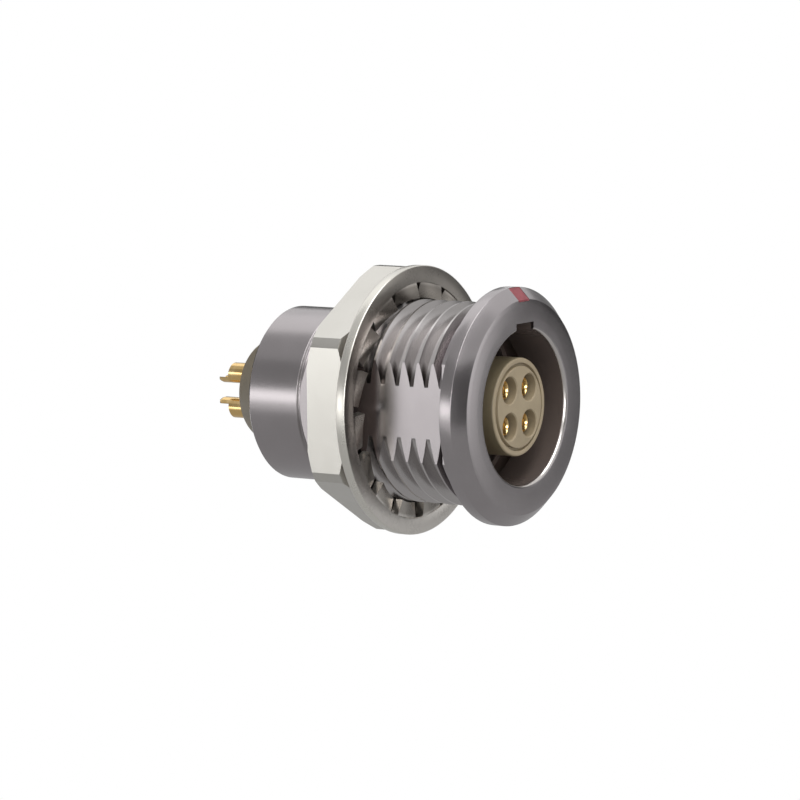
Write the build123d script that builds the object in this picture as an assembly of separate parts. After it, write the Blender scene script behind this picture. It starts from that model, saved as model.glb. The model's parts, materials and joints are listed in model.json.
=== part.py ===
# Panel mount connector: a round metal receptacle with four sprung contacts and solder cups.
# A nut and a lock washer on the threaded barrel hold it in a panel, against the front flange.
#
# Millimetres. The axis is Y: the mating face looks to -Y, the solder cups point to +Y, +Z is up.
# The origin is the centre of the flange's rear face, the face that seats on the panel.
# Radii are built up from the contacts outwards, and stations along Y from the flange backwards.

import os
from math import cos, radians, sin, tan

from build123d import *

# Contact layout: the contacts stand on a circle, turned 45 degrees from the key.
contact_count = 4
contact_circle_r = 1.5
first_contact_angle = 45

# Female contact, a turned piece: slotted socket in front, solder cup behind.
socket_bore_r = 0.47
socket_wall = 0.11
socket_depth = 4.4
socket_edge = 0.03
socket_lead_w = 0.06
socket_lead_len = 0.2
slot_w = 0.2
slot_len = 3.9
stem_step = 0.1
stem_setback = 0.3
collar_step = 0.18
collar_t = 0.56
cup_bore_r = 0.44
cup_wall = 0.18
cup_depth = 1.8
cup_exposed = 1.4
tongue_len = 1.1
tongue_t = 0.36
scoop_slant = 0.2
tip_taper_w = 0.16
tip_taper_len = 0.3

# Spring sleeve, clipped round each slotted socket.
clip_t = 0.08
clip_len = 3.2
clip_setback = 0.7
clip_slit = 0.25

# Front insulator: an island that stands in the mouth, with a flange behind it.
hole_play = 0.12
hole_sink = 0.06
disc_web = 0.1
disc_proud = 0.05
insert_groove_w = 0.18
insert_groove_depth = 0.22
insert_rim = 0.31
insert_edge = 0.07
insert_recess = 0.45
contact_recess = 0.42
guide_setback = 0.2
front_flange_t = 1.8

# Shell, inside: mouth, key slot, latch groove, shoulder and rear bore.
plug_gap = 1.66
plug_depth = 6.5
mouth_round = 0.25
key_w = 1.9
key_depth = 0.4
latch_setback = 2.9
latch_w = 1.0
latch_depth = 0.3
shoulder_step = 0.25
ring_groove_depth = 0.15

# Shell, outside. With these walls the thread comes to M12 x 1, right-handed.
root_wall = 0.66
thread_depth = 0.54
thread_pitch = 1.0
thread_crest_w = 0.125
thread_half_angle = 30
thread_phase = 0.44
seat_undercut = 0.05
flat_wall = 0.45
barrel_len = 10.9
rear_wall = 0.4
rear_len = 3.8
rear_edge = 0.17
neck_w = 0.15
neck_depth = 0.12
flange_rim = 1.0
flange_t = 1.5
flange_chamfer = 0.75

# Alignment mark: paint in a groove across the front chamfer, above the key slot.
mark_w = 1.2
mark_depth = 0.08
mark_below = 0.01

# Earthing crown: a flat ring with sprung fingers that reach forward along the bore.
crown_t = 0.15
crown_ring_t = 0.2
crown_gap = 0.2
crown_len = 2.4
crown_bow = 0.22
crown_collar = 0.35
crown_fingers = 10
crown_slot_w = 0.5

# Rear insulator, with a cone that stands out behind the shell.
neck_step = 0.36
cone_setback = 0.1
cone_len = 2.35
cone_web = 0.78
cone_edge = 0.15

# Retaining ring: a split spring ring in a groove in the rear bore.
ring_t = 0.4
ring_inset = 0.65
ring_lip = 0.05
ring_split = 1.2

# Lock washer with twisted inner teeth, and the hex nut behind it.
panel_space = 5.86
washer_t = 0.6
washer_rim = 1.02
tooth_len = 0.9
tooth_w = 1.5
tooth_twist = 18
tooth_thinning = 0.1
tooth_neck = 0.08
tooth_count = 16
first_tooth_angle = 12
nut_t = 2.5
nut_wall = 1.0
nut_corner_trim = 0.18
nut_chamfer = 0.5
nut_mouth = 0.1

# Clearances, radial or on each side unless named axial.
fit_clip = 0.02
fit_guide = 0.04
fit_tail = 0.04
fit_collar = 0.04
fit_insulator = 0.04
fit_key = 0.06
fit_ring = 0.02
fit_mark = 0.02
fit_thread = 0.06
fit_seat = 0.1
fit_tooth = 0.08
fit_axial = 0.02

# Radii that follow.
socket_r = socket_bore_r + socket_wall
clip_in_r = socket_r + fit_clip
clip_out_r = clip_in_r + clip_t
stem_r = socket_r + stem_step
guide_r = max(stem_r, clip_out_r) + fit_guide
hole_r = guide_r - fit_guide + hole_play
collar_r = stem_r + collar_step
tail_r = cup_bore_r + cup_wall
disc_r = contact_circle_r + hole_r + disc_web
groove_r = disc_r + insert_groove_w
island_r = groove_r + insert_rim
bore_r = island_r + plug_gap
key_r = bore_r + key_depth
latch_r = bore_r + latch_depth
rear_bore_r = bore_r + shoulder_step
ring_groove_r = rear_bore_r + ring_groove_depth
flat_x = rear_bore_r + flat_wall
root_r = rear_bore_r + root_wall
thread_r = root_r + thread_depth
rear_r = rear_bore_r + rear_wall
seat_in_r = thread_r + fit_seat
flange_r = thread_r + flange_rim
insulator_r = rear_bore_r - fit_insulator
neck_r = insulator_r - neck_step
cone_r = contact_circle_r + tail_r + cone_web
ring_in_r = neck_r + ring_lip
ring_out_r = ring_groove_r - fit_ring
tooth_tip_r = thread_r + fit_tooth
washer_in_r = tooth_tip_r + tooth_len
washer_r = washer_in_r + washer_rim
nut_half = thread_r + nut_wall

# Stations along the axis that follow, from the mouth backwards.
front_y = -flange_t
insert_y = front_y + insert_recess
disc_y = insert_y - disc_proud
tip_y = insert_y + contact_recess
latch_y = front_y + latch_setback
shoulder_y = front_y + plug_depth
flange_y = shoulder_y + crown_ring_t
joint_y = flange_y + front_flange_t
stem_y = tip_y + socket_depth + stem_setback
guide_y = stem_y + guide_setback
collar_y = joint_y - fit_axial - collar_t
rear_y = barrel_len + rear_len
ring_y = rear_y - ring_inset - fit_axial - ring_t
cone_y = rear_y + cone_setback
cone_end_y = rear_y + cone_len
tube_end_y = cone_end_y + cup_exposed
cup_end_y = tube_end_y + tongue_len
washer_mid_y = panel_space + washer_t / 2
tooth_t = washer_t - tooth_thinning
tooth_rise = (tooth_w * sin(radians(tooth_twist)) + tooth_t * cos(radians(tooth_twist))) / 2
nut_y = washer_mid_y + tooth_rise


def turned(*points):
    """A solid turned about the Y axis from a closed outline of (radius, y) points."""
    return revolve(make_face(Polyline(*points, close=True)), Axis.Y, 360)


def rod(radius, y0, y1):
    """A plain cylinder along the axis."""
    return turned((0, y0), (radius, y0), (radius, y1), (0, y1))


def tube(inner, outer, y0, y1):
    """A plain ring between two radii."""
    return turned((inner, y0), (outer, y0), (outer, y1), (inner, y1))


def block(width, y0, y1, z0, z1):
    """A box centred on the YZ plane."""
    return Pos(0, (y0 + y1) / 2, (z0 + z1) / 2) * Box(width, y1 - y0, z1 - z0)


def contact_places():
    """Axis position of each contact, with its distance above the middle."""
    places = []
    for i in range(contact_count):
        angle = radians(first_contact_angle + 360 / contact_count * i)
        places.append((contact_circle_r * cos(angle), contact_circle_r * sin(angle)))
    return places


def ridge_w(radius, clearance=0):
    """Width of the male thread's ridge at a radius, with a clearance added on each flank."""
    return thread_crest_w + 2 * ((thread_r - radius) * tan(radians(thread_half_angle)) + clearance)


def helical_cuts(inner, inner_w, outer, outer_w, phase, y0, y1):
    """Half turns of a right-handed helical cutter, enough to cover y0 to y1.

    The cutter's middle crosses the +X side at the height phase, and again every pitch.
    """
    path = Helix(pitch=thread_pitch, height=thread_pitch / 2, radius=inner)
    depth = outer - inner
    outline = Polygon(
        (0, -inner_w / 2), (depth, -outer_w / 2), (depth, outer_w / 2), (0, inner_w / 2), align=None
    )
    start = Plane(origin=path @ 0, x_dir=(1, 0, 0), z_dir=path % 0)
    half_turn = Rotation(-90, 0, 0) * sweep(start * outline, path=path, is_frenet=True)
    cuts = []
    for turn in range(int((y0 - phase) // thread_pitch), int((y1 - phase) // thread_pitch) + 1):
        y = phase + turn * thread_pitch
        cuts.append(Pos(0, y, 0) * half_turn)
        cuts.append(Pos(0, y + thread_pitch / 2, 0) * Rotation(0, 180, 0) * half_turn)
    return cuts


def mark_bar(width, low, high):
    """A bar across the front chamfer at the top, from low to high above the chamfer's surface."""
    bar = Pos(0, 0, (low + high) / 2) * Box(width, flange_chamfer / cos(radians(45)), high - low)
    at_chamfer = Pos(0, front_y + flange_chamfer / 2, flange_r - flange_chamfer / 2)
    return at_chamfer * Rotation(45, 0, 0) * bar


def flange_disc():
    """The flange as a solid disc, chamfered in front and undercut round the barrel so a panel lies flat."""
    return turned(
        (0, front_y),
        (flange_r - flange_chamfer, front_y),
        (flange_r, front_y + flange_chamfer),
        (flange_r, 0),
        (seat_in_r, 0),
        (seat_in_r, -seat_undercut),
        (0, -seat_undercut),
    )


def outer_shell():
    """Flange, threaded barrel with two flats and rear sleeve, turned from one bar."""
    barrel = turned(
        (0, -seat_undercut),
        (thread_r, -seat_undercut),
        (thread_r, barrel_len - (thread_r - rear_r)),
        (rear_r, barrel_len),
        (0, barrel_len),
    )
    proud = 0.09
    barrel -= helical_cuts(
        root_r,
        thread_pitch - ridge_w(root_r),
        thread_r + proud,
        thread_pitch - ridge_w(thread_r + proud),
        thread_phase,
        thread_phase,
        barrel_len,
    )
    flat_len = barrel_len + seat_undercut
    for side in (1, -1):
        flat = Box(thread_r, flat_len, 3 * thread_r)
        barrel -= Pos(side * (flat_x + thread_r / 2), barrel_len - flat_len / 2, 0) * flat

    sleeve_y = barrel_len + neck_w
    sleeve = turned(
        (0, barrel_len),
        (rear_r - neck_depth, barrel_len),
        (rear_r - neck_depth, sleeve_y),
        (rear_r, sleeve_y + neck_depth),
        (rear_r, rear_y - rear_edge),
        (rear_r - rear_edge, rear_y),
        (0, rear_y),
    )
    shell = flange_disc() + barrel + sleeve

    # One stepped bore: rounded mouth, latch groove, shoulder for the crown, retaining ring groove.
    mouth_mid = mouth_round * (1 - cos(radians(45)))
    shell -= turned(
        (0, front_y),
        (bore_r + mouth_round, front_y),
        (bore_r + mouth_mid, front_y + mouth_mid),
        (bore_r, front_y + mouth_round),
        (bore_r, latch_y),
        (latch_r, latch_y + latch_depth),
        (latch_r, latch_y + latch_w),
        (bore_r, latch_y + latch_w),
        (bore_r, shoulder_y),
        (rear_bore_r, shoulder_y),
        (rear_bore_r, ring_y - fit_axial),
        (ring_groove_r, ring_y - fit_axial),
        (ring_groove_r, ring_y + ring_t + fit_axial),
        (rear_bore_r, ring_y + ring_t + fit_axial),
        (rear_bore_r, rear_y),
        (0, rear_y),
    )

    # The key slot runs back to the insulators' joint, so it keys the insert as well as the plug.
    shell -= block(key_w, front_y, joint_y, 0, key_r)
    shell -= mark_bar(mark_w, -mark_depth, mark_depth)
    return shell


def index_mark():
    """Paint filling of the mark groove, flush with the flange's edges."""
    return mark_bar(mark_w - 2 * fit_mark, -mark_depth, -mark_below) & flange_disc()


def earthing_crown():
    """Ring clamped at the shell's shoulder, with bowed fingers cut from its sleeve."""
    outer = bore_r - crown_gap
    inner = outer - crown_t
    tip = shoulder_y - crown_len
    middle = (shoulder_y + tip) / 2
    crown = turned(
        (insulator_r, flange_y),
        (inner, flange_y),
        (inner, shoulder_y),
        (inner - crown_bow, middle),
        (inner, tip),
        (outer, tip),
        (outer - crown_bow, middle),
        (outer, shoulder_y),
        (insulator_r, shoulder_y),
    )
    slot = block(crown_slot_w, tip, shoulder_y - crown_collar, 0, bore_r)
    for i in range(crown_fingers):
        crown -= Rotation(0, 360 / crown_fingers * (i + 0.5), 0) * slot
    return crown


def front_insulator():
    """Island with a raised disc inside a rim, a keyed flange and a stepped hole for each contact."""
    body = turned(
        (0, disc_y),
        (disc_r, disc_y),
        (disc_r, insert_y + insert_groove_depth),
        (groove_r, insert_y + insert_groove_depth),
        (groove_r, insert_y),
        (island_r - insert_edge, insert_y),
        (island_r, insert_y + insert_edge),
        (island_r, flange_y),
        (insulator_r, flange_y),
        (insulator_r, joint_y),
        (0, joint_y),
    )
    body += block(key_w - 2 * fit_key, flange_y, joint_y, island_r, key_r - fit_key)
    hole = turned(
        (0, disc_y),
        (hole_r + hole_sink, disc_y),
        (hole_r, disc_y + hole_sink),
        (hole_r, guide_y),
        (guide_r, guide_y),
        (guide_r, collar_y),
        (collar_r + fit_collar, collar_y),
        (collar_r + fit_collar, joint_y),
        (0, joint_y),
    )
    for x, z in contact_places():
        body -= Pos(x, 0, z) * hole
    return body


def rear_insulator():
    """Plug that backs the contacts' collars, with the cone that stands out of the shell."""
    body = turned(
        (0, joint_y),
        (insulator_r, joint_y),
        (insulator_r, ring_y - fit_axial),
        (neck_r, ring_y - fit_axial),
        (neck_r, cone_y),
        (cone_r, cone_end_y - cone_edge),
        (cone_r - cone_edge, cone_end_y),
        (0, cone_end_y),
    )
    hole = rod(tail_r + fit_tail, joint_y, cone_end_y)
    for x, z in contact_places():
        body -= Pos(x, 0, z) * hole
    return body


def retaining_ring():
    """Split spring ring that stops the insulators from backing out."""
    ring = tube(ring_in_r, ring_out_r, ring_y, ring_y + ring_t)
    return ring - block(ring_split, ring_y, ring_y + ring_t, -ring_out_r, 0)


def contact():
    """One female contact on the Y axis, with its solder cup open upwards."""
    body = turned(
        (0, tip_y),
        (socket_r - socket_edge, tip_y),
        (socket_r, tip_y + socket_edge),
        (socket_r, stem_y),
        (stem_r, stem_y),
        (stem_r, collar_y),
        (collar_r, collar_y),
        (collar_r, collar_y + collar_t),
        (tail_r, collar_y + collar_t),
        (tail_r, cup_end_y - tip_taper_len),
        (tail_r - tip_taper_w, cup_end_y),
        (0, cup_end_y),
    )
    body -= turned(
        (0, tip_y),
        (socket_bore_r + socket_lead_w, tip_y),
        (socket_bore_r, tip_y + socket_lead_len),
        (socket_bore_r, tip_y + socket_depth),
        (0, tip_y + socket_depth + socket_bore_r / 2),
    )
    body -= block(slot_w, tip_y, tip_y + slot_len, -stem_r, stem_r)
    body -= rod(cup_bore_r, tube_end_y - cup_depth, cup_end_y)

    # The cup's upper side is scooped away, which leaves a tongue with a rounded end.
    tongue_top = tongue_t - tail_r
    scoop = make_face(
        Polyline(
            (tube_end_y, tail_r),
            (tube_end_y + scoop_slant, tongue_top),
            (cup_end_y, tongue_top),
            (cup_end_y, tail_r),
            close=True,
        )
    )
    body -= extrude(Plane.YZ * scoop, amount=tail_r, both=True)
    round_y = cup_end_y - tail_r
    round_end = Pos(0, round_y, 0) * Cylinder(tail_r, 2 * tail_r)
    body -= block(2 * tail_r, round_y, cup_end_y, -tail_r, tail_r) - round_end
    return body


def contact_clip():
    """Split spring sleeve round the slotted socket, its slit a quarter turn from the slots."""
    sleeve_y = tip_y + clip_setback
    sleeve = tube(clip_in_r, clip_out_r, sleeve_y, sleeve_y + clip_len)
    slit = block(clip_slit, sleeve_y, sleeve_y + clip_len, 0, clip_out_r)
    return sleeve - Rotation(0, 90, 0) * slit


def placed(shape, x, z):
    """A contact's piece at its place, turned over below the middle so that its cup opens outwards."""
    turn = 0 if z > 0 else 180
    return Pos(x, 0, z) * Rotation(0, turn, 0) * shape


def lock_washer():
    """Flat ring with inner teeth, each twisted out of the sheet like a paddle and thinner at its tip."""
    washer = tube(washer_in_r, washer_r, panel_space, panel_space + washer_t)
    root = Plane.YZ.offset(washer_in_r + washer_rim / 4) * Rectangle(washer_t - tooth_neck, tooth_w)
    tip = Plane.YZ.offset(tooth_tip_r - fit_tooth) * Rectangle(tooth_t, tooth_w, rotation=-tooth_twist)
    tooth = Pos(0, washer_mid_y, 0) * loft([root, tip], ruled=True)
    tooth -= rod(tooth_tip_r, panel_space - washer_t, panel_space + 2 * washer_t)
    turns = [first_tooth_angle + 360 / tooth_count * i for i in range(tooth_count)]
    return washer + [Rotation(0, turn, 0) * tooth for turn in turns]


def hex_nut():
    """Thin nut with two flats facing sideways, trimmed corners and a chamfer on both faces."""
    corner_r = nut_half / cos(radians(30)) - nut_corner_trim
    face_r = corner_r - nut_chamfer
    fall = nut_chamfer * tan(radians(30))
    end_y = nut_y + nut_t
    blank = turned(
        (0, nut_y),
        (face_r, nut_y),
        (corner_r, nut_y + fall),
        (corner_r, end_y - fall),
        (face_r, end_y),
        (0, end_y),
    )
    hexagon = RegularPolygon(nut_half, 6, major_radius=False, rotation=30)
    prism = extrude(Plane.XZ.offset(-end_y) * hexagon, amount=nut_t)
    nut = blank & prism
    inner = root_r + fit_thread
    outer = thread_r + fit_thread
    nut -= rod(inner, nut_y, end_y)
    mouth_r = outer + nut_mouth
    bevel = mouth_r - inner
    for face, inwards in ((nut_y, bevel), (end_y, -bevel)):
        nut -= turned((0, face), (mouth_r, face), (inner, face + inwards), (0, face + inwards))
    inside = inner - fit_thread
    for cut in helical_cuts(
        inside,
        ridge_w(inside, fit_thread),
        outer,
        ridge_w(outer, fit_thread),
        thread_phase + thread_pitch / 2,
        nut_y - thread_pitch,
        end_y,
    ):
        nut -= cut
    return nut


def build():
    """Every piece of the part, by node name."""
    pieces = {
        "outer_shell": outer_shell(),
        "index_mark": index_mark(),
        "earthing_crown": earthing_crown(),
        "front_insulator": front_insulator(),
        "rear_insulator": rear_insulator(),
        "retaining_ring": retaining_ring(),
        "lock_washer": lock_washer(),
        "hex_nut": hex_nut(),
    }
    one_contact = contact()
    one_clip = contact_clip()
    for number, (x, z) in enumerate(contact_places(), start=1):
        pieces[f"contact_{number}"] = placed(one_contact, x, z)
        pieces[f"contact_clip_{number}"] = placed(one_clip, x, z)
    return pieces


os.makedirs("parts", exist_ok=True)
for name, piece in build().items():
    export_step(piece, f"parts/{name}.step")
    print(f"{name}: {piece.volume:.3f} mm3, {len(piece.solids())} solid")
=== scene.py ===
# %% [markdown]
# # A panel mount connector, dressed for its picture
#
# The object is a round metal receptacle about 21 mm long. It is pushed through a hole in a
# panel from the front, and a lock washer and a hex nut hold it there from behind. Four gilt
# contacts stand in a beige insert in its mouth, and their solder cups stick out at the rear.
#
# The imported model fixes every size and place. This script models the visible pieces again
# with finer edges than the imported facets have, gives each piece its finish, and lights the
# whole like a small product on a white table.

import json
from math import cos, pi, radians, sin, tan

import bpy
from mathutils import Matrix, Vector

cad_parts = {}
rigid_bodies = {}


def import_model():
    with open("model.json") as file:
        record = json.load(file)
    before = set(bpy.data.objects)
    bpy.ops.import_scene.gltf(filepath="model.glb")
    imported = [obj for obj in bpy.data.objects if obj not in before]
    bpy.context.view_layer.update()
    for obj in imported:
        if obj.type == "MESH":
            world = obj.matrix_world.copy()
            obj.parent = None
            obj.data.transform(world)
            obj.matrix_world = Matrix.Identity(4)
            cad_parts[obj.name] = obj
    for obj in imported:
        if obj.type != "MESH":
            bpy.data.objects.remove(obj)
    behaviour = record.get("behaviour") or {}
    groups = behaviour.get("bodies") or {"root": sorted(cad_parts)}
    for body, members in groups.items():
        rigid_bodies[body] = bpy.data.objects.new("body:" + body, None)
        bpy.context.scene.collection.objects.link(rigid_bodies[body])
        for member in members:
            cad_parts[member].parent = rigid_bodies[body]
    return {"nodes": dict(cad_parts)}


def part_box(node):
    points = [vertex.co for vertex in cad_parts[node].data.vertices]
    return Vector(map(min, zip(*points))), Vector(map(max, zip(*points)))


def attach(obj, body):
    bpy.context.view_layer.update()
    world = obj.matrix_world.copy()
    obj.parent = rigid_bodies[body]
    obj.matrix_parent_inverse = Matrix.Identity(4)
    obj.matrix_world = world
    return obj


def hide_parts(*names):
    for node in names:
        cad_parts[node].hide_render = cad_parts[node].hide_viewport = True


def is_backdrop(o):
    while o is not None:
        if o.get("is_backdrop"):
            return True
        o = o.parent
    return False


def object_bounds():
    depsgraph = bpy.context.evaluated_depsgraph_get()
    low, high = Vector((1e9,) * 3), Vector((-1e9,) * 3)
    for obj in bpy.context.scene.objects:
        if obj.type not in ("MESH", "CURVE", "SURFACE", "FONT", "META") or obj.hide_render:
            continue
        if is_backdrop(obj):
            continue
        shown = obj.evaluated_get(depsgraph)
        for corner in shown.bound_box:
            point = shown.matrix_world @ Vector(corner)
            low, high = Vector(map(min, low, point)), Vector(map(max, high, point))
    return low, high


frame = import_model()
cad_box = [list(corner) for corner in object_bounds()]
for name in sorted(frame["nodes"]):
    low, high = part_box(name)
    print(
        f"{name:16s} y {1000 * low.y:6.2f} to {1000 * high.y:6.2f} mm,",
        f"reach {1000 * high.x:5.2f} mm",
    )

# %% [markdown]
# ## The camera
#
# A long lens from the left, a little above the axis. On a real bench this is a macro lens
# about 24 cm away, long enough that the flange and the nut keep nearly the same scale. The
# camera aims a little beside the middle of the part, which puts the part in the picture
# where it belongs without any lens shift.

# %% Camera
VIEW_AZIMUTH = radians(-57.011)
VIEW_ELEVATION = radians(6.926)
VIEW_ROLL = radians(-0.521)
VIEW_DISTANCE = 0.240
AIM_LEFT = 0.001891
AIM_UP = 0.000057
LENS_MM = 182.73
SENSOR_MM = 36

back = Vector(
    (
        sin(VIEW_AZIMUTH) * cos(VIEW_ELEVATION),
        -cos(VIEW_AZIMUTH) * cos(VIEW_ELEVATION),
        sin(VIEW_ELEVATION),
    )
)
level = Vector((0, 0, 1)).cross(back).normalized()
upward = back.cross(level)
right = level * cos(VIEW_ROLL) + upward * sin(VIEW_ROLL)
above = upward * cos(VIEW_ROLL) - level * sin(VIEW_ROLL)
middle = Vector((0, 0.005, 0))
eye = middle + back * VIEW_DISTANCE
aim = middle - right * AIM_LEFT + above * AIM_UP

sight = (eye - aim).normalized()
side = above.cross(sight).normalized()
top = sight.cross(side)
bpy.ops.object.select_all(action="DESELECT")
bpy.ops.object.camera_add()
camera = bpy.context.object
camera.name = "camera"
camera.matrix_world = Matrix.Translation(eye) @ Matrix((side, top, sight)).transposed().to_4x4()
camera.data.lens = LENS_MM
camera.data.sensor_width = SENSOR_MM
camera.data.sensor_fit = "HORIZONTAL"
camera.data.clip_start = 0.01
camera.data.clip_end = 10
bpy.context.scene.camera = camera
print("camera at", [round(1000 * c, 1) for c in eye], "mm")

# %% [markdown]
# ## Modelling helpers
#
# Nearly every piece is turned on a lathe, so the main helper draws half of a section, point
# by point, rounds its corners and spins it about the axis. The corner rounding is what makes
# a turned part look machined, because each edge then catches a thin line of light. Booleans
# do what a mill, a drill and a thread cutter do. Pieces are drawn in millimetres, where
# Blender's tools have their usual tolerances, and are scaled to metres when they are
# finished. Large faces then lend their direction to the small roundings beside them, so that
# they stay flat to the light and only the roundings bend it.

# %% Selecting, placing and copying
MM = 0.001


def only(piece):
    """Leaves edit mode and selects this piece alone."""
    if bpy.context.object and bpy.context.object.mode != "OBJECT":
        bpy.ops.object.mode_set(mode="OBJECT")
    bpy.ops.object.select_all(action="DESELECT")
    if piece is not None:
        piece.select_set(True)
        bpy.context.view_layer.objects.active = piece


def apply_place(piece):
    """Puts the object's place, turn and size into its mesh."""
    only(piece)
    bpy.ops.object.transform_apply(location=True, rotation=True, scale=True)


def copy_of(piece):
    """A copy of a piece, with a mesh of its own."""
    twin = piece.copy()
    twin.data = piece.data.copy()
    bpy.context.collection.objects.link(twin)
    return twin


# %% Finishing a piece
def crease_flats(piece, x):
    """Keeps the outline of both flats sharp, where it meets the thread at a low angle."""
    mesh = piece.data
    on_flat = {}
    for face in mesh.polygons:
        at_flat = abs(abs(face.center.x) - x) < 0.01 * MM
        looks_sideways = abs(face.normal.x) > 0.999
        for key in face.edge_keys:
            on_flat.setdefault(key, []).append(at_flat and looks_sideways)
    for edge in mesh.edges:
        sides = on_flat[edge.key]
        if any(sides) and not all(sides):
            edge.use_edge_sharp = True


def open_edges(piece):
    """Keys of the edges that don't lie between exactly two faces."""
    count = {}
    for face in piece.data.polygons:
        for key in face.edge_keys:
            count[key] = count.get(key, 0) + 1
    return [key for key, n in count.items() if n != 2]


def finish_piece(piece, name, smooth=35, flat_x=None):
    """Names a piece, scales it to metres and smooths all but its sharp edges."""
    piece.name = name
    piece.data.name = name
    piece.scale = (MM, MM, MM)
    apply_place(piece)
    bpy.ops.object.shade_smooth_by_angle(angle=radians(smooth))
    if flat_x:
        crease_flats(piece, flat_x * MM)
    flatten = piece.modifiers.new("Flat faces", "WEIGHTED_NORMAL")
    flatten.keep_sharp = True
    bpy.ops.object.modifier_apply(modifier=flatten.name)
    corners = [Vector(c) / MM for c in piece.bound_box]
    size = [max(c[i] for c in corners) - min(c[i] for c in corners) for i in range(3)]
    print(
        f"{name}: {size[0]:.2f} x {size[1]:.2f} x {size[2]:.2f} mm,",
        f"{len(piece.data.polygons)} faces, {len(open_edges(piece))} open edges",
    )
    return piece


# %% Lathe: draw, round, spin
SAME_POINT = 0.0005
ON_AXIS = 0.001
ROUNDING_SEGMENTS = 3


def draw(points, closed):
    """A wire through (radius, y) points, drawn by extruding one vertex from point to point."""
    only(None)
    bpy.ops.mesh.primitive_plane_add(size=0.1, location=(points[0][0], points[0][1], 0))
    wire = bpy.context.object
    bpy.ops.object.mode_set(mode="EDIT")
    bpy.ops.mesh.merge(type="CENTER")
    ends = points[1:] + points[:1] if closed else points[1:]
    last = points[0]
    for point in ends:
        step = (point[0] - last[0], point[1] - last[1], 0)
        bpy.ops.mesh.extrude_region_move(TRANSFORM_OT_translate={"value": step})
        last = point
    bpy.ops.mesh.select_all(action="SELECT")
    bpy.ops.mesh.remove_doubles(threshold=SAME_POINT)
    bpy.ops.object.mode_set(mode="OBJECT")
    apply_place(wire)
    return wire


def round_corners(wire, rounding):
    """Rounds the corners of a drawn wire, apart from its ends on the axis."""
    only(wire)
    for vertex in wire.data.vertices:
        vertex.select = vertex.co.x > ON_AXIS
    bpy.ops.object.mode_set(mode="EDIT")
    bpy.ops.mesh.select_mode(type="VERT")
    bpy.ops.mesh.bevel(offset=rounding, segments=ROUNDING_SEGMENTS, affect="VERTICES")
    bpy.ops.object.mode_set(mode="OBJECT")


def lathe(points, rounding=0.0, steps=128):
    """A solid turned about Y from half of its section.

    A section that starts on the axis also ends on it, and is left open there.
    """
    wire = draw(points, closed=points[0][0] > 0)
    if rounding:
        round_corners(wire, rounding)
    only(wire)
    bpy.ops.object.mode_set(mode="EDIT")
    bpy.ops.mesh.select_all(action="SELECT")
    bpy.ops.mesh.spin(steps=steps, angle=2 * pi, center=(0, 0, 0), axis=(0, 1, 0))
    bpy.ops.mesh.select_all(action="SELECT")
    bpy.ops.mesh.remove_doubles(threshold=SAME_POINT)
    bpy.ops.mesh.normals_make_consistent(inside=False)
    bpy.ops.object.mode_set(mode="OBJECT")
    return wire


# %% Thread cutter, booleans and plain cutters
SCREW_STEPS = 72


def screw(points, pitch, turns):
    """A right-handed helical solid: a closed section wound about Y, with its ends filled."""
    wire = draw(points, closed=True)
    winding = wire.modifiers.new("Winding", "SCREW")
    winding.axis = "Y"
    winding.angle = 2 * pi
    winding.screw_offset = pitch
    winding.iterations = turns
    winding.steps = SCREW_STEPS
    winding.render_steps = SCREW_STEPS
    only(wire)
    bpy.ops.object.modifier_apply(modifier=winding.name)
    bpy.ops.object.mode_set(mode="EDIT")
    bpy.ops.mesh.select_all(action="SELECT")
    bpy.ops.mesh.fill_holes(sides=len(points))
    bpy.ops.mesh.select_all(action="SELECT")
    bpy.ops.mesh.normals_make_consistent(inside=False)
    bpy.ops.object.mode_set(mode="OBJECT")
    return wire


def combine(piece, tool, operation="DIFFERENCE"):
    """Cuts, joins or intersects a piece with a tool, which is used up."""
    boolean = piece.modifiers.new("Combine", "BOOLEAN")
    boolean.operation = operation
    boolean.solver = "EXACT"
    boolean.object = tool
    only(piece)
    bpy.ops.object.modifier_apply(modifier=boolean.name)
    bpy.data.objects.remove(tool)


def block(low, high):
    """A box between two corners."""
    only(None)
    centre = [(a + b) / 2 for a, b in zip(low, high)]
    bpy.ops.mesh.primitive_cube_add(size=1, location=centre)
    box = bpy.context.object
    box.scale = [b - a for a, b in zip(low, high)]
    apply_place(box)
    return box


def rod(radius, y0, y1, x=0, z=0, sides=48):
    """A plain round or many-sided bar along Y."""
    only(None)
    bpy.ops.mesh.primitive_cylinder_add(
        vertices=sides,
        radius=radius,
        depth=y1 - y0,
        location=(x, (y0 + y1) / 2, z),
        rotation=(pi / 2, 0, 0),
    )
    bar = bpy.context.object
    apply_place(bar)
    return bar


# %% [markdown]
# ## The outer shell
#
# One piece turned from brass bar and satin chromed: a flange with a broad front chamfer, a
# barrel with an M12 x 1 thread, and a plain sleeve behind it. Two flats are milled along the
# barrel, so the thread's ridges end there in rows of teeth. The barrel could be faked with
# rings, but a real thread climbs, and the flats show that. So the barrel is turned on its
# own, a helical groove is cut into it, the flats follow, and only then is it joined to the
# rest of the body. Before the cuts it is rotated by half a facet, so that its edges don't
# fall on those of the cutters and of the body. The groove starts a little behind the flange,
# as on a thread that is cut up to a shoulder, and the flats keep a sharp outline.

# %% The thread
THREAD_R = 6.0
ROOT_R = 5.46
PITCH = 1.0
CREST_W = 0.125
FLANK = tan(radians(30))


def ridge_w(radius, clearance=0.0):
    """Width of the thread's ridge at a radius, with a clearance on each flank."""
    return CREST_W + 2 * ((THREAD_R - radius) * FLANK + clearance)


def band(r0, w0, r1, w1, y):
    """Section of a helical cutter: a trapezoid at y, with its widths at two radii."""
    return [(r0, y - w0 / 2), (r1, y - w1 / 2), (r1, y + w1 / 2), (r0, y + w0 / 2)]


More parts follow.
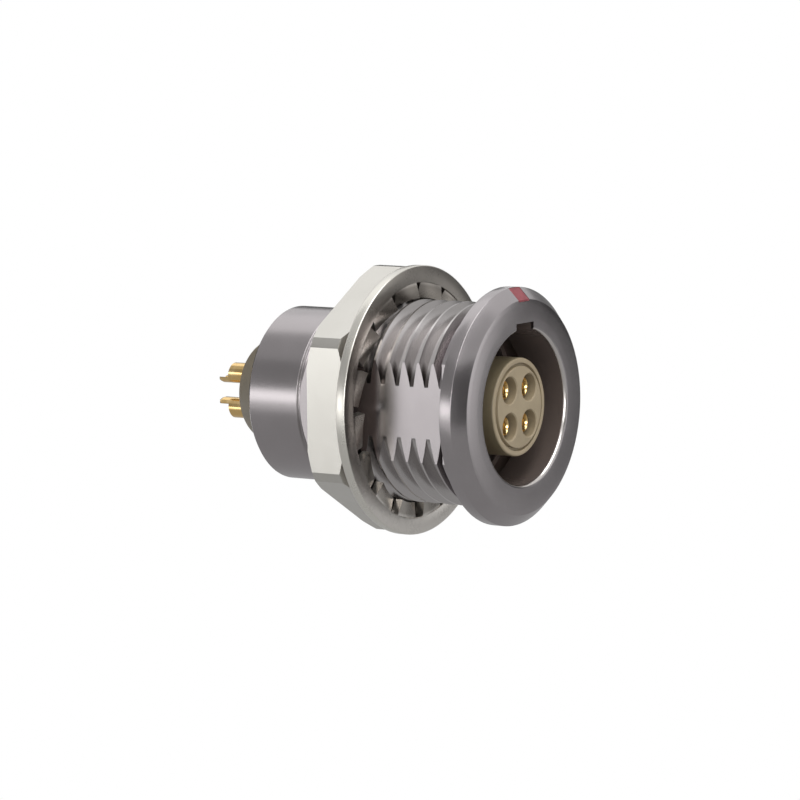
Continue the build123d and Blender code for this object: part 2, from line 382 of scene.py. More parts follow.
print(f"ridge {ridge_w(ROOT_R):.3f} mm wide at the root, {ridge_w(THREAD_R):.3f} mm at the crest")

# %% Barrel with its thread and flats
BODY_STEPS = 144
CORE_R = 5.0
SLEEVE_R = 5.2
BARREL_START = -0.4
THREAD_END = 10.1
BARREL_END = 10.9
GROOVE_Y = 0.44
GROOVE_START = 0.9
GROOVE_TURNS = 11
FLAT_X = 5.25
PROUD_R = THREAD_R + 0.09

barrel = lathe(
    [
        (CORE_R, BARREL_START),
        (THREAD_R, BARREL_START),
        (THREAD_R, THREAD_END),
        (SLEEVE_R, BARREL_END),
        (CORE_R, BARREL_END),
    ],
    steps=BODY_STEPS,
)
barrel.rotation_euler.y = radians(180 / BODY_STEPS)
apply_place(barrel)

groove = band(ROOT_R, PITCH - ridge_w(ROOT_R), PROUD_R, PITCH - ridge_w(PROUD_R), GROOVE_Y)
cutter = screw(groove, PITCH, GROOVE_TURNS)
combine(cutter, block((-9, -3, -9), (9, GROOVE_START, 9)))
combine(barrel, cutter)
for low_x, high_x in ((FLAT_X, 8), (-8, -FLAT_X)):
    combine(barrel, block((low_x, -1, -8), (high_x, 12, 8)))
print("barrel:", len(barrel.data.polygons), "faces")

# %% Flange, bore and sleeve
FLANGE_R = 7.0
FLANGE_FRONT = -1.5
CHAMFER = 0.75
BORE_R = 4.55
LATCH_R = 4.85
REAR_BORE_R = 4.80
RING_GROOVE_R = 4.95
NECK_R = 5.08
SHOULDER = 5.0
REAR = 14.7
RING_GROOVE_BACK = REAR - 0.65
RING_GROOVE_FRONT = REAR - 1.09

body = lathe(
    [
        # The flange's face, crowned by a few hundredths of a millimetre.
        (4.75, FLANGE_FRONT),
        (5.30, -1.491),
        (5.62, -1.478),
        (5.96, -1.460),
        (6.31, -1.437),
        # Its chamfer and rim, and the seat on the panel, recessed round the barrel's foot.
        (FLANGE_R, FLANGE_FRONT + CHAMFER),
        (FLANGE_R, 0),
        (6.1, 0),
        (6.1, -0.05),
        (NECK_R, -0.05),
        # The core inside the barrel, the neck behind it and the sleeve.
        (NECK_R, 11.05),
        (SLEEVE_R, 11.17),
        (SLEEVE_R, REAR - 0.17),
        (5.03, REAR),
        # The rear bore, with the retaining ring's groove.
        (REAR_BORE_R, REAR),
        (REAR_BORE_R, RING_GROOVE_BACK),
        (RING_GROOVE_R, RING_GROOVE_BACK),
        (RING_GROOVE_R, RING_GROOVE_FRONT),
        (REAR_BORE_R, RING_GROOVE_FRONT),
        (REAR_BORE_R, SHOULDER),
        # The front bore, with the latch groove.
        (BORE_R, SHOULDER),
        (BORE_R, 2.4),
        (LATCH_R, 2.4),
        (LATCH_R, 1.7),
        (BORE_R, 1.4),
        # The rounded edge of the mouth.
        (BORE_R, -1.29),
        (4.57, -1.36),
        (4.63, -1.455),
        (4.67, -1.485),
    ],
    rounding=0.02,
    steps=BODY_STEPS,
)
combine(body, barrel, "UNION")
print("body with its barrel:", len(body.data.polygons), "faces")

# %% Key slot and the groove for the red mark
KEY_W = 1.9
KEY_FLOOR = 4.95
MARK_W = 1.2
MARK_REACH = 0.53
MARK_DEPTH = 0.10

combine(body, block((-KEY_W / 2, -2, 0), (KEY_W / 2, 7, KEY_FLOOR)))


def mark_bar(width, low, high):
    """A bar across the front chamfer at the top, from low to high above its surface."""
    bar = block((-width / 2, -MARK_REACH, low), (width / 2, MARK_REACH, high))
    bar.location = (0, FLANGE_FRONT + CHAMFER / 2, FLANGE_R - CHAMFER / 2)
    bar.rotation_euler = (radians(45), 0, 0)
    apply_place(bar)
    return bar


combine(body, mark_bar(MARK_W, -MARK_DEPTH, 0.15))
shell = finish_piece(body, "shell_turned", flat_x=FLAT_X)
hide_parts("outer_shell")
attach(shell, "shell")

# %% [markdown]
# ## The red mark
#
# Paint that fills a shallow groove across the chamfer, so the user can line the plug up with
# the key slot. It could be a patch of colour on the shell, but real paint lies a hair below
# the metal and shows a thin edge. So it is the groove's own bar, a little narrower and lower,
# cut off with a disc that has the flange's outline.

# %% Red mark
MARK_PLAY = 0.04
PAINT_TOP = -0.03

paint = mark_bar(MARK_W - MARK_PLAY, -MARK_DEPTH, PAINT_TOP)
disc = lathe([(0, -1.42), (6.30, -1.42), (6.98, -0.76), (6.98, 0), (0, 0)])
combine(paint, disc, "INTERSECT")
mark = finish_piece(paint, "mark_paint")
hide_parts("index_mark")
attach(mark, "shell")

# %% [markdown]
# ## The lock washer
#
# Stamped from sheet, with sixteen teeth around its inner edge. Each tooth is twisted like a
# propeller blade, so its corners bite into the panel and into the nut. A bevelled ring of
# flat teeth would be quicker, but only twisted teeth throw the row of light and dark wedges
# that the real washer shows. One tooth is modelled: a bar that is twisted about its length,
# not at all at the ring and most at its tip. Sixteen copies go round.

# %% One twisted tooth
RING_IN_R = 6.98
RING_OUT_R = 7.995
RING_FRONT = 5.86
RING_BACK = 6.46
WASHER_MID = 6.16
TOOTH_COUNT = 16
FIRST_ANGLE = 12
TOOTH_W = 2.1
TOOTH_HALF_T = 0.24
TOOTH_END_R = 6.0
TOOTH_ROOT_R = 7.235
TOOTH_TWIST = radians(-12.5)
TIP_R = 6.08

tooth = block(
    (TOOTH_END_R, -TOOTH_HALF_T, -TOOTH_W / 2),
    (TOOTH_ROOT_R, TOOTH_HALF_T, TOOTH_W / 2),
)
only(tooth)
bpy.ops.object.mode_set(mode="EDIT")
bpy.ops.mesh.select_all(action="SELECT")
bpy.ops.mesh.subdivide(number_cuts=3)
bpy.ops.object.mode_set(mode="OBJECT")
for vertex in tooth.data.vertices:
    twist = TOOTH_TWIST * (TOOTH_ROOT_R - vertex.co.x) / (TOOTH_ROOT_R - TOOTH_END_R)
    vertex.co = Matrix.Rotation(twist, 3, "X") @ vertex.co
tooth.location.y = WASHER_MID
apply_place(tooth)
combine(tooth, rod(TIP_R, 5, 7, sides=96))
print("tooth:", len(tooth.data.polygons), "faces")

# %% Ring with all its teeth
washer = lathe(
    [
        (RING_IN_R, RING_FRONT),
        (RING_OUT_R, RING_FRONT),
        (RING_OUT_R, RING_BACK),
        (RING_IN_R, RING_BACK),
    ],
    rounding=0.07,
)
for number in range(TOOTH_COUNT):
    blade = copy_of(tooth)
    blade.rotation_euler.y = radians(FIRST_ANGLE + 360 / TOOTH_COUNT * number)
    apply_place(blade)
    combine(washer, blade, "UNION")
bpy.data.objects.remove(tooth)
lock_washer = finish_piece(washer, "washer_toothed", smooth=30)
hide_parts("lock_washer")
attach(lock_washer, "washer")

# %% [markdown]
# ## The hex nut
#
# Cut from hexagon bar and nickel plated. Both faces are chamfered on the lathe, which leaves
# the curved lines on the flats, and the six corners are turned round. It is made the same way
# here, because a bevel on the edges of a prism would give straight lines there: a hexagonal
# prism is intersected with a turned blank, bored, and given its thread.

# %% Nut blank
NUT_FRONT = 6.63
NUT_BACK = 9.13
HALF_FLATS = 7.0
POINT_R = HALF_FLATS / cos(radians(30))
CORNER_TRIM = 0.18
CORNER_R = POINT_R - CORNER_TRIM
NUT_CHAMFER = 0.5
FACE_R = CORNER_R - NUT_CHAMFER
FALL = NUT_CHAMFER * tan(radians(30))

nut = rod(POINT_R, NUT_FRONT, NUT_BACK, sides=6)
corner = max(nut.data.vertices, key=lambda v: v.co.z).co
nut.rotation_euler.y = 0 if abs(corner.x) < 0.01 else radians(30)
apply_place(nut)
blank = lathe(
    [
        (0, NUT_FRONT - 0.01),
        (FACE_R, NUT_FRONT - 0.01),
        (CORNER_R, NUT_FRONT + FALL),
        (CORNER_R, NUT_BACK - FALL),
        (FACE_R, NUT_BACK + 0.01),
        (0, NUT_BACK + 0.01),
    ],
    steps=192,
)
combine(nut, blank, "INTERSECT")
print("nut blank:", len(nut.data.polygons), "faces")

# %% Nut bore and thread
NUT_BORE_R = 5.52
LEAD_IN_R = 6.26
LEAD_IN = 0.64
CLEARANCE = 0.06
NUT_THREAD_R = THREAD_R + CLEARANCE
NUT_THREAD_Y = GROOVE_Y + 4.5 * PITCH
NUT_THREAD_TURNS = 5

bore = lathe(
    [
        (0, NUT_FRONT - 0.1),
        (LEAD_IN_R, NUT_FRONT - 0.1),
        (NUT_BORE_R, NUT_FRONT + LEAD_IN),
        (NUT_BORE_R, NUT_BACK - LEAD_IN),
        (LEAD_IN_R, NUT_BACK + 0.1),
        (0, NUT_BACK + 0.1),
    ]
)
combine(nut, bore)
winding = band(
    ROOT_R,
    ridge_w(ROOT_R, CLEARANCE),
    NUT_THREAD_R,
    ridge_w(NUT_THREAD_R, CLEARANCE),
    NUT_THREAD_Y,
)
combine(nut, screw(winding, PITCH, NUT_THREAD_TURNS))
hex_nut = finish_piece(nut, "nut_hex", smooth=20)
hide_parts("hex_nut")
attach(hex_nut, "nut")

# %% [markdown]
# ## The insulators
#
# Two moulded pieces hold the contacts. The front one stands in the mouth as an island with a
# rim round its face and a hole for each contact. The rear one backs the contacts' collars and
# ends in a cone behind the shell. A mould could give them any shape, but theirs are round, so
# both are turned sections with drilled holes, and the front one gets a key at the top.

# %% Front insulator
JOINT = 7.0
ISLAND_R = 2.89
FLANGE_FOOT = 5.2
INSULATOR_R = 4.76
INSERT_KEY_W = 1.78
INSERT_KEY_R = 4.89
CIRCLE_R = 1.5
HOLE_STEPS = 48
PLACES = [(CIRCLE_R * cos(radians(a)), CIRCLE_R * sin(radians(a))) for a in (45, 135, 225, 315)]
HOLE = [
    # A small countersink, then room for the socket and its spring.
    (0, -1.2),
    (0.96, -1.2),
    (0.80, -1.04),
    (0.80, 4.27),
    # A closer fit on the stem, and the seat of the collar.
    (0.72, 4.27),
    (0.72, 6.42),
    (0.9, 6.42),
    (0.9, 7.2),
    (0, 7.2),
]

insert = lathe(
    [
        # The face, the fine groove round it and the rim.
        (0, -1.10),
        (2.40, -1.10),
        (2.40, -0.83),
        (2.58, -0.83),
        (2.58, -1.05),
        (2.82, -1.05),
        (ISLAND_R, -0.98),
        # The island's side and the flange that fills the rear bore.
        (ISLAND_R, FLANGE_FOOT),
        (INSULATOR_R, FLANGE_FOOT),
        (INSULATOR_R, JOINT),
        (0, JOINT),
    ],
    rounding=0.03,
)
key = block(
    (-INSERT_KEY_W / 2, FLANGE_FOOT, 2.5),
    (INSERT_KEY_W / 2, JOINT, INSERT_KEY_R),
)
combine(insert, key, "UNION")
for x, z in PLACES:
    drill = lathe(HOLE, steps=HOLE_STEPS)
    drill.location = (x, 0, z)
    apply_place(drill)
    combine(insert, drill)
front = finish_piece(insert, "insulator_front")
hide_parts("front_insulator")
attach(front, "shell")

# %% Rear insulator
TAIL_HOLE_R = 0.66
CONE_NECK_R = 4.40
CONE_END_R = 2.90
CONE_END = 17.05

cone = lathe(
    [
        (0, JOINT),
        (INSULATOR_R, JOINT),
        (INSULATOR_R, RING_GROOVE_FRONT),
        # The neck that the retaining ring goes round, and the cone.
        (CONE_NECK_R, RING_GROOVE_FRONT),
        (CONE_NECK_R, REAR + 0.1),
        (CONE_END_R, 16.9),
        (CONE_END_R - 0.15, CONE_END),
        (0, CONE_END),
    ],
    rounding=0.05,
)
for x, z in PLACES:
    combine(cone, rod(TAIL_HOLE_R, 6.5, 17.5, x, z))
rear = finish_piece(cone, "insulator_rear")
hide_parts("rear_insulator")
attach(rear, "shell")

# %% [markdown]
# ## The contacts
#
# Gilt turned pins with a slotted socket in front and a solder cup behind. The socket's lips
# are rounded inwards, so a pin finds its way in. The cup's side is scooped away over its last
# millimetre, so a wire can be laid in and soldered, and the tongue that is left has a rounded
# end. A tube with a slanted end would look alike from afar, but the scoop and the tongue show
# against the white, so they are cut one by one. One contact is made on the axis and copied to
# its four places, with the lower two turned over.

# %% One contact
SOCKET_BORE_R = 0.47
SOCKET_R = 0.58
STEM_R = 0.68
COLLAR_R = 0.86
TAIL_R = 0.62
CUP_R = 0.44
TAIL_END = 19.55

pin = lathe(
    [
        # The socket's bore, from its drilled end to its narrowed tip.
        (0, 4.0),
        (SOCKET_BORE_R, 3.77),
        (SOCKET_BORE_R, 1.0),
        (0.40, -0.20),
        # The rounded lip.
        (0.425, -0.35),
        (0.475, -0.47),
        (0.535, -0.57),
        (0.56, -0.615),
        (0.573, -0.63),
        (SOCKET_R, -0.60),
        # Outside: the socket, the stem, the collar and the tail.
        (SOCKET_R, 4.07),
        (STEM_R, 4.07),
        (STEM_R, 6.42),
        (COLLAR_R, 6.42),
        (COLLAR_R, 6.98),
        (TAIL_R, 6.98),
        (TAIL_R, 19.25),
        # The cup's rounded end and its bore.
        (0.56, 19.42),
        (0.46, TAIL_END),
        (CUP_R, TAIL_END),
        (CUP_R, 16.65),
        (0, 16.65),
    ],
    steps=HOLE_STEPS,
)
print("turned pin:", len(pin.data.polygons), "faces,", len(open_edges(pin)), "open edges")

# %% Slot, scoop and tongue
SLOT_W = 0.2
SLOT_END = 3.27
TUBE_END = 18.45
TUBE_SLANT = 0.2
TONGUE_TOP = -0.26
TONGUE_Y = 18.93

combine(pin, block((-SLOT_W / 2, -0.7, -1), (SLOT_W / 2, SLOT_END, 1)))
scoop = block((-1, TUBE_END, TONGUE_TOP), (1, 20, 1))
for vertex in scoop.data.vertices:
    if vertex.co.y < 19 and vertex.co.z < 0:
        vertex.co.y = TUBE_END + TUBE_SLANT
combine(pin, scoop)
ends = block((-0.7, TONGUE_Y, -0.7), (0.7, 20, 0.7))
only(None)
bpy.ops.mesh.primitive_cylinder_add(
    vertices=HOLE_STEPS, radius=TAIL_R, depth=2, location=(0, TONGUE_Y, 0)
)
post = bpy.context.object
apply_place(post)
combine(ends, post)
combine(pin, ends)
print("contact:", len(pin.data.polygons), "faces,", len(open_edges(pin)), "open edges")

# %% Four contacts
for number, (x, z) in enumerate(PLACES, start=1):
    made = copy_of(pin)
    made.rotation_euler.y = 0 if z > 0 else pi
    made.location = (x, 0, z)
    apply_place(made)
    finish_piece(made, f"contact_gilt_{number}")
    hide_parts(f"contact_{number}")
    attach(made, "shell")
bpy.data.objects.remove(pin)

# %% [markdown]
# ## Shader maths
#
# Materials are written as expressions. A Flow wraps one output of a node, and its operators
# add Math nodes, so 1 - mask is a node as well. Everything else, such as noise, colour
# mixing and bump, goes through one method that takes the node's type, its settings and the
# values or links of its inputs. Most of what follows is masks, which are 0 where a thing
# isn't and 1 where it is.

# %% Flow
class Flow:
    """One output of a shader node, with arithmetic that adds Math nodes."""

    def __init__(self, finish, socket):
        self.finish = finish
        self.socket = socket

    def maths(self, operation, first, second):
        """A Math node with two inputs."""
        return self.finish.node("ShaderNodeMath", {"operation": operation}, {0: first, 1: second})

    def __add__(self, other):
        return self.maths("ADD", self, other)

    def __radd__(self, other):
        return self.maths("ADD", other, self)

    def __sub__(self, other):
        return self.maths("SUBTRACT", self, other)

    def __rsub__(self, other):
        return self.maths("SUBTRACT", other, self)

    def __mul__(self, other):
        return self.maths("MULTIPLY", self, other)

    def __rmul__(self, other):
        return self.maths("MULTIPLY", other, self)


# %% Finish
class Finish:
    """A material: its Principled shader and whatever feeds it."""

    def __init__(self, name, constants):
        self.material = bpy.data.materials.new("finish_" + name)
        self.material.use_nodes = True
        self.tree = self.material.node_tree
        self.shader = self.tree.nodes["Principled BSDF"]
        for socket, value in constants.items():
            self.shader.inputs[socket].default_value = value
        self.place = self.node("ShaderNodeTexCoord", output="Object")

    def node(self, kind, settings=None, values=None, output=0):
        """Adds a node, sets it up, plugs in its values or links, and returns one output."""
        made = self.tree.nodes.new(kind)
        for key, value in (settings or {}).items():
            setattr(made, key, value)
        for key, value in (values or {}).items():
            self.plug(value, made.inputs[key])
        return Flow(self, made.outputs[output])

    def plug(self, value, socket):
        """Links a Flow to a socket, or sets the socket to a plain value."""
        if isinstance(value, Flow):
            self.tree.links.new(value.socket, socket)
        else:
            socket.default_value = value

    def set(self, **sockets):
        """Feeds inputs of the shader, such as Roughness or Base_Color."""
        for key, value in sockets.items():
            self.plug(value, self.shader.inputs[key.replace("_", " ")])

    def mix(self, factor, first, second):
        """Two colours mixed."""
        colours = {"Factor": factor, 6: first, 7: second}
        return self.node("ShaderNodeMix", {"data_type": "RGBA"}, colours, output=2)

    def noise(self, per_mm, detail):
        """Noise with so many lumps to the millimetre."""
        return self.node(
            "ShaderNodeTexNoise",
            values={"Vector": self.place, "Scale": per_mm / MM, "Detail": detail},
        )

    def rise(self, value, low, high):
        """0 below low, 1 above high and smooth between them."""
        return self.node(
            "ShaderNodeMapRange",
            {"interpolation_type": "SMOOTHSTEP"},
            {"Value": value, "From Min": low, "From Max": high},
        )

    def rise_mm(self, value, low, high):
        """The same for a length, with its limits in millimetres."""
        return self.rise(value, low * MM, high * MM)

    def stretch(self, value, start, full, fading, gone):
        """1 from full to fading, 0 before start and after gone, all in millimetres."""
        return self.rise_mm(value, start, full) - self.rise_mm(value, fading, gone)

    def edges(self, radius_mm):
        """1 on outer edges and corners, 0 on flat places."""
        rounded = self.node("ShaderNodeBevel", {"samples": 4}, {"Radius": radius_mm * MM})
        plain = self.node("ShaderNodeNewGeometry", output="Normal")
        same = self.node(
            "ShaderNodeVectorMath", {"operation": "DOT_PRODUCT"}, {0: rounded, 1: plain}, "Value"
        )
        return self.rise(1 - same, 0.01, 0.15)

    def hollows(self, distance_mm):
        """1 in the open, falling towards 0 in corners and grooves."""
        return self.node(
            "ShaderNodeAmbientOcclusion", {"samples": 4}, {"Distance": distance_mm * MM}, "AO"
        )

    def bump(self, height, strength, distance_mm):
        """Turns a height into a normal."""
        return self.node(
            "ShaderNodeBump",
            values={"Height": height, "Strength": strength, "Distance": distance_mm * MM},
        )


def scaled(colour, share):
    """A colour made darker or lighter by a share, up to white."""
    return [min(1, share * c) for c in colour[:3]] + [1]


def count_nodes(finish):
    """Prints how many nodes a finish has so far."""
    print(f"{finish.material.name}: {len(finish.tree.nodes)} nodes")


# %% [markdown]
# ## Turned metal
#
# A lathe leaves fine rings: round the axis on a cylinder, and in circles on a face. Both come
# from one number, the distance from the axis plus the distance along it, because each of the
# two is constant round the part. Noise along that number alone gives rings everywhere, where
# a Wave texture would repeat and would need another setting for each face.

# %% Rings left by the lathe
RINGS_PER_MM = 26.0


def coordinate(finish, axis):
    """How far along X, Y or Z a place is."""
    return finish.node("ShaderNodeSeparateXYZ", values={"Vector": finish.place}, output=axis)


def distance_from_axis(finish):
    """How far a place is from the part's axis."""
    flat = finish.node(
        "ShaderNodeVectorMath", {"operation": "MULTIPLY"}, {0: finish.place, 1: (1, 0, 1)}
    )
    return finish.node("ShaderNodeVectorMath", {"operation": "LENGTH"}, {0: flat}, "Value")


def lathe_rings(finish):
    """Noise that only changes along the section, as a turning tool leaves it."""
    along_and_out = distance_from_axis(finish) + coordinate(finish, "Y")
    return finish.node(
        "ShaderNodeTexNoise",
        {"noise_dimensions": "1D"},
        {"W": along_and_out * (RINGS_PER_MM / MM), "Scale": 1.0, "Detail": 4.0},
    )


def satin(name, dark, light, rough, metallic=1.0, hollow_shade=0.45):
    """A satin plated metal: turning rings, a fine grain, a painted highlight on edges and painted
    shade in hollows.
    """
    finish = Finish(name, {"Metallic": metallic})
    rings = lathe_rings(finish)
    fine = finish.noise(22.0, 4.0)
    cloud = finish.noise(0.5, 3.0)
    tone = finish.rise(0.3 * rings + 0.2 * fine + 0.5 * cloud, 0.3, 0.7)
    open_air = finish.hollows(0.5)
    edge = finish.edges(0.04)
    plain = finish.mix(tone, dark, light)
    # Painted shade darkens the hollows, and a painted highlight lightens the edges.
    shaded = finish.mix(hollow_shade * (1 - open_air), plain, scaled(dark, 0.3))
    colour = finish.mix(0.35 * edge, shaded, scaled(light, 1.2))
    height = 0.5 * rings + 0.5 * fine
    finish.set(
        Base_Color=colour,
        Roughness=rough + 0.05 * (fine - 0.5) + 0.06 * (cloud - 0.5) - 0.04 * edge,
        Normal=finish.bump(height, 0.03, 0.003),
    )
    count_nodes(finish)
    return finish, colour


# %% [markdown]
# ## Metal finishes
#
# The shell is satin chrome with a faint violet tint, the nut is nickel, which is warmer and
# brighter, and the washer is plated spring steel. They are one recipe with other colours,
# because all three are turned or stamped, plated and handled alike. The crown, the ring and
# the clips sit deep in the part, so the recipe alone is enough for them.

# %% Shell, nut, washer and springs
chrome, outside = satin("satin_chrome", (0.332, 0.309, 0.314, 1), (0.356, 0.332, 0.338, 1), 0.24)
nickel, _ = satin(
    "nickel_plate", (0.50, 0.485, 0.45, 1), (0.54, 0.525, 0.49, 1), 0.22, metallic=0.92, hollow_shade=0.15
)
plate, plated = satin(
    "plated_washer", (0.44, 0.41, 0.375, 1), (0.50, 0.465, 0.425, 1), 0.28, metallic=0.92, hollow_shade=0.2
)
# The crown's near-black colour is painted shade, for the shade deep in the bore.
spring, _ = satin(
    "spring_metal", (0.05, 0.04, 0.035, 1), (0.065, 0.05, 0.045, 1), 0.7, metallic=0.2
)
steel, _ = satin("spring_steel", (0.10, 0.10, 0.11, 1), (0.15, 0.15, 0.16, 1), 0.36)
clip, _ = satin("spring_clip", (0.36, 0.34, 0.31, 1), (0.48, 0.46, 0.43, 1), 0.28)

# %% [markdown]
# ## Painted light and shade on the washer
#
# The washer's colour carries painted light and shade: painted light at the bottom, painted shade
# across the middle and a little less of it at the top. The teeth get painted shade as well, most
# of all the top ones, and the rim a painted highlight. A single grey would look like a drawn ring,
# so each of these gets a mask by height or by radius.

# %% Washer
WASHER_SHADE_DARK = (0.02, 0.015, 0.01, 1)
WASHER_LIGHT_PALE = (1, 0.97, 0.93, 1)
TOOTH_SHADE_DARK = (0.06, 0.05, 0.04, 1)
RIM_HIGHLIGHT = (0.64, 0.62, 0.57, 1)

height = coordinate(plate, "Z")
ring_r = distance_from_axis(plate)
# Painted light at the bottom, painted shade across the middle and less of it at the top.
lit_bottom = 1 - plate.rise_mm(height, -5.5, -0.5)
shade_by_height = 0.74 - 0.50 * plate.rise_mm(height, 2, 6)
shaded_plate = plate.mix(shade_by_height, plated, WASHER_SHADE_DARK)
lit_plate = plate.mix(0.4, plated, WASHER_LIGHT_PALE)
lit_and_shaded = plate.mix(lit_bottom, shaded_plate, lit_plate)
# Painted shade on the teeth, most of all on the top ones.
on_teeth = 1 - plate.rise_mm(ring_r, 6.75, 6.98)
high_up = plate.rise_mm(height, 4.5, 6.2)
shaded_tooth = plate.mix(0.15 + 0.5 * high_up, plated, TOOTH_SHADE_DARK)
with_teeth = plate.mix(on_teeth, lit_and_shaded, shaded_tooth)
# Painted highlight on the rim.
on_rim = plate.rise_mm(ring_r, 7.9, 7.97)
plate.set(Base_Color=plate.mix(on_rim, with_teeth, RIM_HIGHLIGHT))
count_nodes(plate)

# %% [markdown]
# ## Painted light and shade on the shell, and its bore
#
# The thread gets painted light: it is lighter than the flats, more so on its upper flanks, and
# painted shade darkens the topmost ones. The bore is browner and less metallic than the outside,
# and the edge of the mouth gets a painted highlight. Painted shade sits where the grooves run out
# at the flats. On the flats, painted light lies in front of the washer, and a brown painted shade
# with less metal lies beneath it. All of it is one material with masks, because the shell is one
# piece, and a mask can fade where the border between two materials would be a hard line.

# %% Places on the shell
radius = distance_from_axis(chrome)
along = coordinate(chrome, "Y")
upright = coordinate(chrome, "Z")
sideways = chrome.node("ShaderNodeMath", {"operation": "ABSOLUTE"}, {0: coordinate(chrome, "X")})

on_barrel = chrome.stretch(along, 1.2, 1.6, 10.6, 10.9)
on_flat = chrome.rise_mm(sideways, 5.23, 5.245)
thread = on_barrel * (1 - on_flat) * chrome.rise_mm(radius, 5.3, 5.4)
inside = chrome.stretch(along, -1.32, -1.28, 6, 7) * (1 - chrome.rise_mm(radius, 4.96, 4.99))
mouth_edge = chrome.stretch(radius, 4.53, 4.56, 4.66, 4.70)
# The edge of the mouth, which gets a painted highlight.
highlit_mouth = mouth_edge * (1 - chrome.rise_mm(along, -1.32, -1.28))
count_nodes(chrome)

# %% Thread, and painted light and shade by the flats and the washer
LIT_FLANK_LOW = (0.45, 0.43, 0.425, 1)
LIT_FLANK_HIGH = (0.55, 0.525, 0.52, 1)
SHADED_FLANK_TOP = (0.29, 0.275, 0.27, 1)
GROOVE_SHADE = (0.06, 0.045, 0.04, 1)
FLAT_LIGHT = (0.48, 0.45, 0.44, 1)
FLAT_SHADE_BROWN = (0.10, 0.07, 0.06, 1)

# Painted light on the thread: lighter upper flanks, and painted shade on the topmost ones.
upper = chrome.rise_mm(upright, -1, 1)
topmost = chrome.rise_mm(upright, 4.7, 5.7)
flanks = chrome.mix(upper, LIT_FLANK_LOW, LIT_FLANK_HIGH)
lit_thread = chrome.mix(thread, outside, chrome.mix(topmost, flanks, SHADED_FLANK_TOP))

# Painted shade in the groove bottoms where they run out at the flats.
in_groove = 1 - chrome.rise_mm(radius, 5.65, 5.9)
near_flat = chrome.rise_mm(sideways + upper * (0.3 * MM), 5.1, 5.45)
run_out = thread * in_groove * near_flat
groove_shaded = chrome.mix(0.85 * run_out, lit_thread, GROOVE_SHADE)

# Painted light on the flats in front of the washer.
by_washer = chrome.stretch(along, 4.0, 4.8, 5.0, 5.4)
flat_lit = chrome.mix(on_flat * by_washer, groove_shaded, FLAT_LIGHT)
# Brown painted shade, with less metal, on the flats beneath the washer and the nut.
flat_shade_mask = on_barrel * on_flat * chrome.stretch(along, 5.05, 5.6, 6.4, 8.8)
flat_shaded = chrome.mix(0.88 * flat_shade_mask, flat_lit, FLAT_SHADE_BROWN)
count_nodes(chrome)

# %% Mouth and bore, and the whole shell
MOUTH_HIGHLIGHT = (0.55, 0.52, 0.50, 1)
BORE_BROWN = (0.22, 0.175, 0.155, 1)

# Painted highlight on the mouth's edge, and the browner bore.
with_mouth = chrome.mix(highlit_mouth, flat_shaded, MOUTH_HIGHLIGHT)
chrome.set(
    Base_Color=chrome.mix(inside, with_mouth, BORE_BROWN),
    Metallic=1.0 - 0.5 * (inside + flat_shade_mask),
)
count_nodes(chrome)

# %% [markdown]
# ## Gilt
#
# A thin layer of gold over copper or nickel. It is glossy, and its tone wanders between a reddish
# and a yellowish gold. Painted shade turns it brown in corners. One gold colour would do from
# afar, but the sockets are seen close up against the beige insert.

# %% Gilt contacts
gilt = Finish("gold_plate", {"Metallic": 1.0})
wear = gilt.rise(gilt.noise(1.6, 4.0), 0.42, 0.68)
specks = gilt.noise(14.0, 3.0)
gold_open = gilt.hollows(0.4)
gold_tone = gilt.mix(wear, (0.69, 0.475, 0.20, 1), (0.79, 0.575, 0.29, 1))
# Painted shade: brown where the corners are closed in.
gilt.set(
    Base_Color=gilt.mix(0.25 * (1 - gold_open), gold_tone, (0.30, 0.15, 0.04, 1)),
    Roughness=0.14 + 0.08 * wear + 0.04 * (specks - 0.5),
    Normal=gilt.bump(lathe_rings(gilt) + 0.3 * specks, 0.05, 0.004),
)
count_nodes(gilt)

# %% [markdown]
# ## Plastics and paint
#
# The insulators are a hard moulded plastic. Up close such a plastic is never one colour: it has
# faint flow clouds and specks, and its skin is a little uneven. Painted shade darkens its corners,
# and the side of each insulator, which faces the shell's wall, is darker than its face with
# painted shade. Two pieces in one kind of plastic need one recipe with two colours, and not a
# photograph of the surface. The paint of the mark is brushed on, so it has shallow pits and two
# reds.

# %% Moulded plastic
def moulded(name, dark, light, rough, side_r):
    """A hard plastic with flow clouds and specks. Painted shade darkens its corners, and its side
    from side_r outwards.
    """
    finish = Finish(name, {"Specular IOR Level": 0.5})
    clouds = finish.noise(0.6, 3.0)
    specks = finish.rise(finish.noise(7.0, 2.0), 0.62, 0.74)
    open_air = finish.hollows(2.0)
    edge = finish.edges(0.04)
    plain = finish.mix(finish.rise(clouds, 0.3, 0.7), dark, light)
    speckled = finish.mix(0.20 * specks, plain, scaled(dark, 0.7))
    # The edges are a little lighter.
    edge_lightened = finish.mix(0.30 * edge, speckled, scaled(light, 1.25))
    on_side = finish.rise_mm(distance_from_axis(finish), side_r - 0.04, side_r)
    # Painted shade in corners, and on the side that faces the shell's wall.
    shade = 0.1 * (1 - open_air) + 0.48 * on_side
    shaded = [0.25 * dark[0], 0.27 * dark[1], 0.22 * dark[2], 1]
    finish.set(
        Base_Color=finish.mix(shade, edge_lightened, shaded),
        Roughness=rough + 0.12 * (clouds - 0.5),
        Normal=finish.bump(finish.noise(12.0, 4.0) + 0.2 * specks, 0.08, 0.008),
    )
    count_nodes(finish)
    return finish


beige = moulded("beige_plastic", (0.33, 0.265, 0.17, 1), (0.37, 0.30, 0.195, 1), 0.45, 2.88)
olive = moulded("olive_plastic", (0.155, 0.13, 0.09, 1), (0.185, 0.155, 0.108, 1), 0.42, 4.9)

